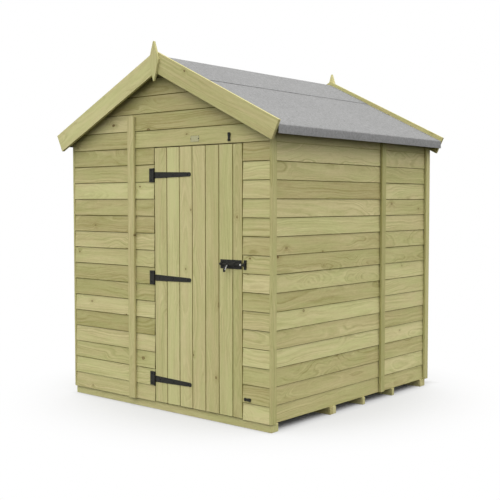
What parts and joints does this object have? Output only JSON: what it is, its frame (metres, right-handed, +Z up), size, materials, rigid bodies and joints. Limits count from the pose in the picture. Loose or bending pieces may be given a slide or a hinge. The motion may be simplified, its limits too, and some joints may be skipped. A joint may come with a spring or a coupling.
{
  "type": "wooden garden shed",
  "caption": "Wooden garden shed with lapped board walls, a felted apex roof, bargeboards with finials, and one ledged door on strap hinges with a sliding bolt and turn buttons.",
  "frame": {"origin": "middle of the shed's overall box at ground level, under the bearers", "axes": "+Z up, the door faces -Y, +X to the right as seen from the front"},
  "size_m": [1.886, 1.858, 2.2403],
  "materials": {
    "cladding": "rough-sawn pressure-treated softwood",
    "timber": "planed pressure-treated softwood",
    "inner_timber": "planed softwood",
    "door_timber": "planed pressure-treated matchboard",
    "roof_felt": "mineral-surfaced roofing felt",
    "black_iron": "black satin coating"
  },
  "bodies": {
    "shed": {"floor_bearers": "timber", "floor_boards": "inner_timber", "front_cladding_left": "cladding", "front_cladding_hinge_side": "cladding", "front_cladding_lock_side": "cladding", "front_cladding_over_door": "cladding", "front_gable": "cladding", "back_cladding_left": "cladding", "back_cladding_right": "cladding", "back_gable": "cladding", "left_cladding_front": "cladding", "left_cladding_rear": "cladding", "right_cladding_front": "cladding", "right_cladding_rear": "cladding", "front_posts": "inner_timber", "back_posts": "inner_timber", "left_posts": "inner_timber", "right_posts": "inner_timber", "bottom_rails": "inner_timber", "top_rails": "inner_timber", "front_gable_rail": "inner_timber", "back_gable_rail": "inner_timber", "corner_strips": "timber", "cover_strips": "timber", "roof_boards_left": "inner_timber", "roof_boards_right": "inner_timber", "roof_battens_left": "inner_timber", "roof_battens_right": "inner_timber", "felt_left": "roof_felt", "felt_right": "roof_felt", "felt_ridge": "roof_felt", "bargeboard_front_left": "timber", "bargeboard_front_right": "timber", "bargeboard_rear_left": "timber", "bargeboard_rear_right": "timber", "finials": "timber", "hinge_plates": "black_iron", "bolt_keep": "black_iron", "turn_button_screws": "black_iron"},
    "door": {"door_boards": "door_timber", "door_ledges": "inner_timber", "hinge_straps": "black_iron", "bolt_plate": "black_iron"},
    "bolt": {"bolt_bar": "black_iron"},
    "top_button": {"turn_button_top": "black_iron"},
    "bottom_button": {"turn_button_bottom": "black_iron"}
  },
  "joints": [
    {"name": "door_swing", "type": "hinge", "parent": "shed", "child": "door", "pos_m": [-0.073, -0.864, 0.819], "axis": [0, 0, -1], "range_deg": [0, 165]},
    {"name": "bolt_slide", "type": "slide", "parent": "door", "child": "bolt", "axis": [1, 0, 0], "range_m": [0, 0.028]},
    {"name": "top_button_turn", "type": "hinge", "parent": "shed", "child": "top_button", "pos_m": [0.541, -0.8618, 1.6365], "axis": [0, 1, 0], "range_deg": [0, 180]},
    {"name": "bottom_button_turn", "type": "hinge", "parent": "shed", "child": "bottom_button", "pos_m": [0.662, -0.8618, 0.167], "axis": [0, 1, 0], "range_deg": [0, 180]}
  ]
}
